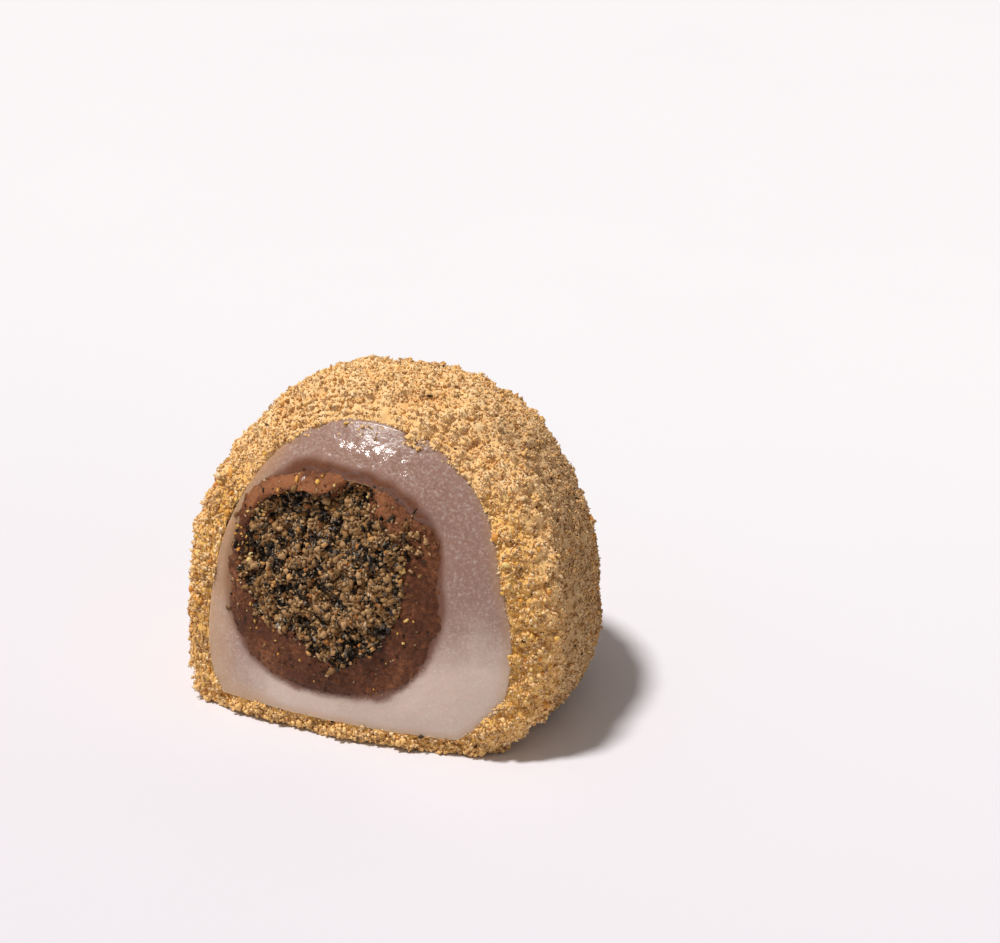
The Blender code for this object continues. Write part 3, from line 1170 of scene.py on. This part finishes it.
@dataclass
class RiceDough:
    """The rice dough: a thick shell round the paste, with its cut face rolled back at the edge.

    Attributes:
        columns, face_rows, side_rows, cavity_rows: fineness.
        border: how far the face reaches in over the paste's edge.
        face_inset: how far inside the coat's inner wall the face ends.
        side_inset: how far inside it the hidden side wall runs.
        hollow_inset: how far inside the paste's form the hollow's wall runs.
        ledge_height, ledge_place, ledge_reach: height of the swelling above the paste, its middle's
            distance from the paste's edge, and its width.
        ledge_rise: heights between which the swelling grows from nothing to its whole height.
    """

    columns: int = 460
    face_rows: int = 84
    side_rows: int = 26
    cavity_rows: int = 18
    border: float = 0.9
    face_inset: float = 0.15
    side_inset: float = 1.3
    hollow_inset: float = 0.2
    ledge_height: float = 0.50
    ledge_place: float = 0.4
    ledge_reach: float = 1.6
    ledge_rise: tuple[float, float] = (24.5, 29.0)

    def build(self, grit: bpy.types.ShaderNodeTree) -> None:
        """Makes the dough as one closed body with a hollow for the paste."""
        turns = np.linspace(0, 2 * math.pi, self.columns, endpoint=False)
        centre = (PASTE_FORM.middle[0], PASTE_FORM.middle[2])
        inner = outline(PASTE_FORM.larger(-self.border), centre, turns)
        outer = outline(DOUGH_FORM.smaller(self.face_inset), centre, turns)
        share = np.linspace(0, 1, self.face_rows)[:, None, None]
        across = inner * (1 - share) + outer * share
        face = CUT.points(across[..., 0], across[..., 1])
        z = face[..., 2]
        past = -PASTE_FORM.depth(face) - paste_wobble(face)
        damp = self.wetness(face)
        height = -0.24 * np.clip((0.6 - past) / 1.5, 0, 1) + 0.10 * step(past, 0.4, 2.6)
        height = height + 0.05 * Waves(2.4, 21).at(face)
        ledge = np.exp(-(((past - self.ledge_place) / self.ledge_reach) ** 2))
        height = height + self.ledge_height * ledge * step(z, *self.ledge_rise)
        height = height + (0.015 + 0.11 * damp) * Waves(0.9, 22).at(face)
        height = height + (0.008 + 0.035 * damp) * Waves(0.5, 23).at(face)
        face[..., 1] -= height
        origin = np.array([0.0, -1.0, 16.5])
        back = np.array([0.0, 1.0, -0.1])
        side_form = DOUGH_FORM.smaller(self.side_inset)
        side = wall(side_form, face[-1] + np.array([0.0, 0.6, 0.0]), origin, back, self.side_rows)
        hollow_middle = np.array([PASTE_FORM.middle[0], -9.0, PASTE_FORM.middle[2]])
        hollow_form = PASTE_FORM.larger(-self.hollow_inset)
        hollow_rim = face[0] + np.array([0.0, 1.0, 0.0])
        hollow = wall(hollow_form, hollow_rim, hollow_middle, back, self.cavity_rows)
        rows = np.concatenate([hollow[::-1], face, side])
        piece = Sheet(rows, self.masks(rows)).build("rice_dough")
        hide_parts("rice_skin")
        dress(piece, DoughFinish().make(grit))

    def wetness(self, points: Array) -> Array:
        """How wet the face is, from 0 to 1: wettest just over the paste, towards the right."""
        x, z = points[..., 0], points[..., 2]
        past = -PASTE_FORM.depth(points)
        towards_right = 0.35 + 0.65 * step(x, -9.0, -2.0)
        return step(z, 22.0, 29.0) * towards_right * (1 - 0.75 * step(past, 2.0, 3.5))

    def masks(self, points: Array) -> dict[str, Array]:
        """The masks that the finish reads."""
        x, z = points[..., 0], points[..., 2]
        past = -PASTE_FORM.depth(points) - paste_wobble(points)
        # Mauve rises towards the top, more away from the far left, on the left and near the paste:
        # partly thin dough over the paste, partly painted shade.
        thin_and_shaded = step(z + 0.12 * x, 9.0, 23.0) * (0.45 + 0.55 * step(x, -17.0, -7.0))
        thin_and_shaded = thin_and_shaded + 0.5 * step(-x, 6.0, 15.0)
        thin_and_shaded = np.clip(thin_and_shaded + 0.35 * np.exp(-np.maximum(past, 0) / 1.8), 0, 1)
        return {
            "thin_and_shaded": thin_and_shaded,
            "near_paste": 1 - step(past, -0.4, 1.5),
            # Tan band by the coat: partly powder on the edge, partly a painted reflection of the coat.
            "near_coat": 1 - step(DOUGH_FORM.depth(points), 0.0, 1.4 + 2.6 * step(-x, 6.0, 14.0)),
            "wet": self.wetness(points),
        }


@dataclass
class BeanPaste:
    """The bean paste: a shell round the loose filling, whose cut face has a lip over the filling.

    Attributes:
        columns, face_rows, side_rows, cavity_rows: fineness.
        border: how far the face reaches in over the filling's edge.
        skirt: how far the face reaches out under the dough's edge.
        lip_height, dip_depth: height of the lip over the filling, and how far the paste sinks under it.
        spill_place: x and z of the crumbs that lie on the paste beside the filling.
    """

    columns: int = 400
    face_rows: int = 70
    side_rows: int = 16
    cavity_rows: int = 14
    border: float = 1.2
    skirt: float = 1.0
    lip_height: float = 0.75
    dip_depth: float = 0.8
    spill_place: tuple[float, float] = (6.6, 23.8)

    def build(self, grit: bpy.types.ShaderNodeTree) -> None:
        """Makes the paste as one closed body with a hollow for the filling."""
        turns = np.linspace(0, 2 * math.pi, self.columns, endpoint=False)
        centre = (FILLING_FORM.middle[0], FILLING_FORM.middle[2])
        inner = CORE_EDGE.loop(turns, -self.border)
        outer = outline(PASTE_FORM.larger(self.skirt), centre, turns)
        share = np.linspace(0, 1, self.face_rows)[:, None, None]
        across = inner * (1 - share) + outer * share
        face = CUT.points(across[..., 0], across[..., 1])
        to_core = CORE_EDGE.past(face)
        up = step(face[..., 2], 21.0, 26.0) * (1 - step(face[..., 0], -5.0, 0.5))
        lip = step(to_core, -0.2, 0.7) * (1 - step(to_core, 1.2, 3.2)) * (self.lip_height * up)
        dip = (self.dip_depth + 0.5 * up) * (1 - step(to_core, -0.7, 0.5))
        grains, _ = Pebbles(0.62, 31).at(face)
        height = 0.02 + lip - dip + 0.12 * Waves(2.2, 32).at(face) + 0.14 * (grains - 0.4)
        height = height + 0.06 * Waves(0.6, 33).at(face)
        outside = -PASTE_FORM.depth(face) - paste_wobble(face)
        height = height - 0.32 * np.clip((outside + 0.9) / 1.5, 0, 1.3)
        face[..., 1] -= height
        back = np.array([0.0, 1.0, 0.0])
        middle = np.array([PASTE_FORM.middle[0], -8.0, PASTE_FORM.middle[2]])
        side_rim = face[-1] + np.array([0.0, 0.6, 0.0])
        side = wall(PASTE_FORM.larger(0.2), side_rim, middle, back, self.side_rows)
        hollow_middle = np.array([FILLING_FORM.middle[0], -9.5, FILLING_FORM.middle[2]])
        hollow_rim = face[0] + np.array([0.0, 1.2, 0.0])
        hollow = wall(FILLING_FORM.larger(-0.2), hollow_rim, hollow_middle, back, self.cavity_rows)
        rows = np.concatenate([hollow[::-1], face, side])
        lit = np.exp(-(((CORE_EDGE.past(rows) - 0.8) / 1.5) ** 2)) * step(rows[..., 2], 21.0, 26.0)
        sheet = Sheet(rows, {"lit_lip": lit})
        piece = sheet.build("bean_paste_shell")
        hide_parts("bean_paste")
        dress(piece, PasteFinish().make(grit))
        self.scatter(sheet, grit)

    def scatter(self, sheet: Sheet, grit: bpy.types.ShaderNodeTree) -> None:
        """Scatters specks of sesame skin, bits of peanut and pale chips over the face."""
        seen = slice(self.cavity_rows, self.cavity_rows + self.face_rows - 6)
        face = sheet.rows[seen]
        normals = sheet.normals()[seen]
        near_core = np.exp(-np.maximum(CORE_EDGE.past(face), 0) / 1.0)
        patches = step(Waves(1.6, 35).at(face), 0.3, 0.7)
        x, z = face[..., 0], face[..., 2]
        aside, above = x - self.spill_place[0], z - self.spill_place[1]
        spill = np.exp(-((aside / 1.6) ** 2) - (above / 2.0) ** 2)
        spill = spill + 0.05 * near_core
        flat = (face.reshape(-1, 3), normals.reshape(-1, 3))
        for grains, finish, weights in (
            (PASTE_SPECKS, BLACK_SEEDS, 0.15 + patches + near_core),
            (PASTE_BITS, AMBER_CRUMBS, 0.15 + near_core),
            (PASTE_CHIPS, CREAM_BITS, 0.3 + near_core),
            (SPILL_TAN, TAN_BITS, spill),
            (SPILL_BLACK, BLACK_SEEDS, spill),
        ):
            piece = grains.build(*flat, weights.ravel(), np.zeros(weights.size))
            dress(piece, finish.make(grit))


PASTE_SPECKS = Grains("paste_specks", GrainShape.FLAKE, 0.075, 0.45, 600, 0.3, 0.6, 111)
PASTE_BITS = Grains("paste_bits", GrainShape.CRUMB, 0.14, 0.45, 130, 0.25, 0.8, 112)
PASTE_CHIPS = Grains("paste_chips", GrainShape.FLAKE, 0.075, 0.45, 260, 0.3, 0.6, 113)
SPILL_TAN = Grains("spilled_tan", GrainShape.CRUMB, 0.16, 0.50, 190, 0.40, 0.45, 114)
SPILL_BLACK = Grains("spilled_black", GrainShape.FLAKE, 0.17, 0.55, 70, 0.40, 0.40, 115)
CREAM_BITS = GrainFinish(
    "peanut_cream",
    ((0.0, (0.28, 0.155, 0.062)), (0.5, (0.48, 0.30, 0.14)), (1.0, (0.74, 0.55, 0.35))),
    roughness=0.5,
)


@dataclass
class SesameFilling:
    """The loose filling: a dark uneven bed with grains of peanut and sesame lying on it.

    Attributes:
        columns, face_rows, side_rows: fineness.
    """

    columns: int = 300
    face_rows: int = 110
    side_rows: int = 14

    def build(self, grit: bpy.types.ShaderNodeTree) -> None:
        """Makes the bed as one closed body, and scatters the grains over it."""
        turns = np.linspace(0, 2 * math.pi, self.columns, endpoint=False)
        centre = np.array(CORE_EDGE.middle)
        edge = CORE_EDGE.loop(turns, 0.5)
        share = ((np.arange(self.face_rows) + 0.6) / self.face_rows)[:, None, None]
        across = centre * (1 - share) + edge * share
        face = CUT.points(across[..., 0], across[..., 1])
        x, z = face[..., 0], face[..., 2]
        bent = face + 0.5 * np.stack([Waves(1.2, seed).at(face) for seed in (42, 45, 46)], axis=-1)
        clumps, _ = Pebbles(1.7, 41).at(bent)
        crumbs, _ = Pebbles(0.8, 43).at(bent)
        scooped = 0.9 * step(z - 0.5 * x, 19.0, 28.0)
        heaped = 0.9 * step(x, -3.0, 4.0) * (1 - step(z, 21.0, 26.0))
        sunk = 0.75 + scooped - heaped
        height = 1.1 * (clumps - 0.55) + 0.5 * (crumbs - 0.5) - sunk + 0.25 * Waves(4.0, 44).at(face)
        face[..., 1] -= height * (1 - 0.5 * step(CORE_EDGE.past(face), -1.5, 0.0))
        back = np.array([0.0, 1.0, 0.0])
        middle = np.array([FILLING_FORM.middle[0], -9.0, FILLING_FORM.middle[2]])
        side_form = FILLING_FORM.larger(-1.2)
        side = wall(side_form, face[-1] + np.array([0.0, 1.0, 0.0]), middle, back, self.side_rows)
        rows = np.concatenate([face, side])
        lift = np.clip(0.6 * clumps + 0.5 * crumbs, 0, 1)
        lift = np.concatenate([lift, np.full(side.shape[:2], 0.3)])
        sheet = Sheet(rows, {"lift": lift})
        piece = sheet.build("sesame_bed")
        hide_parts("sesame_filling")
        dress(piece, CoreFinish().make(grit))
        self.scatter(sheet, lift, grit)

    def scatter(self, sheet: Sheet, lift: Array, grit: bpy.types.ShaderNodeTree) -> None:
        """Scatters every kind of grain over the bed."""
        face = sheet.rows[: self.face_rows]
        normals = np.zeros_like(face)
        normals[..., 1] = -1.0
        normals = unit(normals + 0.8 * sheet.normals()[: self.face_rows])
        cell = np.linalg.norm(
            np.cross(np.gradient(face, axis=0), np.roll(face, -1, axis=1) - face), axis=-1
        )
        high = lift[: self.face_rows]
        dark = step(Waves(1.15, 47).at(face) + 0.25 * Waves(3.5, 48).at(face), -0.05, 0.5)
        dark = dark + 0.25 * step(face[..., 2] - face[..., 0], 22.0, 32.0)
        dark = np.clip(dark + 0.35 * (1 - step(face[..., 2], 11.0, 15.5)), 0, 1)
        flat = (face.reshape(-1, 3), normals.reshape(-1, 3))
        for grains, finish, weights in (
            (FILLING_TAN, TAN_BITS, cell * (0.15 + high) * (1.1 - dark)),
            (FILLING_FINE, CREAM_BITS, cell * (0.2 + high) * (1.2 - dark)),
            (FILLING_BLACK, BLACK_SEEDS, cell * (0.12 + dark)),
            (FILLING_GREY, GREY_BITS, cell * (0.4 + dark)),
            (FILLING_ORANGE, RUST_BITS, cell * (0.4 + high)),
        ):
            piece = grains.build(*flat, weights.ravel(), np.zeros(weights.size))
            dress(piece, finish.make(grit))


FILLING_TAN = Grains("filling_tan", GrainShape.CRUMB, 0.14, 0.50, 4800, 0.42, 0.35, 121)
FILLING_FINE = Grains("filling_fine", GrainShape.CRUMB, 0.085, 0.40, 12000, 0.40, 0.10, 122, dust=True)
FILLING_BLACK = Grains("filling_black", GrainShape.FLAKE, 0.14, 0.50, 4200, 0.42, 0.30, 123, dust=True)
FILLING_GREY = Grains("filling_grey", GrainShape.FLAKE, 0.12, 0.40, 3000, 0.38, 0.20, 124, dust=True)
FILLING_ORANGE = Grains("filling_orange", GrainShape.CRUMB, 0.15, 0.45, 800, 0.38, 0.35, 125)
TAN_BITS = GrainFinish(
    "peanut_tan", ((0.0, (0.15, 0.068, 0.022)), (0.5, (0.32, 0.17, 0.064)), (1.0, (0.56, 0.34, 0.16)))
)
RUST_BITS = GrainFinish(
    "peanut_rust", ((0.0, (0.22, 0.07, 0.02)), (0.5, (0.42, 0.17, 0.045)), (1.0, (0.66, 0.36, 0.13)))
)
GREY_BITS = GrainFinish(
    "sesame_grey",
    ((0.0, (0.05, 0.04, 0.035)), (0.5, (0.15, 0.12, 0.095)), (1.0, (0.34, 0.28, 0.22))),
    roughness=0.6,
)


# ---------------------------------------------------------------- the studio


@dataclass(frozen=True)
class Studio:
    """A pale floor, soft light from the upper left, and the camera.

    Attributes:
        floor_near, floor_far, floor_speck: the floor's colours in front, behind, and in faint patches;
            the lighter colour behind is painted light.
        floor_fade: where the front colour ends and the back colour starts, in metres along Y.
        floor_side: the floor's side in metres.
        key_azimuth, key_elevation: where the key light stands, in degrees. Azimuth 0 is in front.
        key_level, key_softness: its strength, and its width as an angle in degrees.
        fill_level: strength of the even light from all round.
        lens: the camera's focal length in millimetres.
        camera_place, camera_aim: in metres.
    """

    floor_near: Colour = (0.765, 0.735, 0.775)
    floor_far: Colour = (0.83, 0.815, 0.83)
    floor_speck: Colour = (0.74, 0.71, 0.73)
    floor_fade: tuple[float, float] = (-0.09, 0.12)
    floor_side: float = 3.0
    key_azimuth: float = -54.0
    key_elevation: float = 71.0
    key_level: float = 3.05
    key_softness: float = 9.0
    fill_level: float = 0.27
    lens: float = 100.0
    camera_place: tuple[float, float, float] = (0.1054, -0.2507, 0.1541)
    camera_aim: tuple[float, float, float] = (0.0085, 0.0058, 0.0230)

    def build(self, grit: bpy.types.ShaderNodeTree) -> None:
        """Makes the floor, the lights and the camera."""
        self.floor(grit)
        self.lights()
        self.camera()

    def floor(self, grit: bpy.types.ShaderNodeTree) -> None:
        """A flat square under the cake, lighter towards the back, which is painted light, with faint
        patches.
        """
        bpy.ops.mesh.primitive_grid_add(x_subdivisions=4, y_subdivisions=4, size=self.floor_side)
        made = bpy.context.object
        made.name = "floor"
        made.location = (0.0, 0.0, -0.00002)
        finish = Finish("floor_paper", 0.75, grit)
        wide = finish.grit(30.0)
        wiring = finish.wiring
        along = wiring.node("ShaderNodeSeparateXYZ")
        wiring.feed(along, Vector=finish.place)
        # Lighter towards the back: painted light.
        away = wiring.rise(along.outputs["Y"], *self.floor_fade)
        tone = wiring.mix(away, self.floor_near, self.floor_far)
        speck = wiring.math("MULTIPLY", wide.outputs["Mottle"], 0.06)
        finish.colour(wiring.mix(speck, tone, self.floor_speck))
        finish.shader.inputs["Specular IOR Level"].default_value = 0.2
        made.data.materials.append(finish.material)

    def lights(self) -> None:
        """The key light, and an even glow from all round."""
        lamp = bpy.data.lights.new("key_light", "SUN")
        lamp.energy = self.key_level
        lamp.angle = math.radians(self.key_softness)
        lamp.color = (1.0, 0.99, 0.985)
        key = bpy.data.objects.new("key_light", lamp)
        across, up = math.radians(self.key_azimuth), math.radians(self.key_elevation)
        key.rotation_euler = (math.pi / 2 - up, 0.0, across)
        bpy.context.scene.collection.objects.link(key)
        world = bpy.data.worlds.new("studio_glow")
        world.use_nodes = True
        glow = world.node_tree.nodes["Background"]
        glow.inputs["Color"].default_value = (1.0, 0.95, 0.92, 1.0)
        glow.inputs["Strength"].default_value = self.fill_level
        bpy.context.scene.world = world

    def camera(self) -> None:
        """The camera, level from side to side."""
        data = bpy.data.cameras.new("camera")
        data.lens = self.lens
        data.sensor_width = 36.0
        data.clip_start = 0.01
        made = bpy.data.objects.new("camera", data)
        place, aim = np.array(self.camera_place), np.array(self.camera_aim)
        x, y, z = unit(aim - place)
        made.location = self.camera_place
        made.rotation_euler = (math.acos(-z), 0.0, math.atan2(-x, y))
        bpy.context.scene.collection.objects.link(made)
        bpy.context.scene.camera = made


def main() -> None:
    """Builds the cake and the studio."""
    logging.basicConfig(level=logging.INFO, format="%(name)s: %(message)s")
    grit = grit_group()
    PeanutCoat().build(grit)
    RiceDough().build(grit)
    BeanPaste().build(grit)
    SesameFilling().build(grit)
    Studio().build(grit)
    bpy.context.scene.view_settings.view_transform = "Standard"


if __name__ == "__main__":
    main()
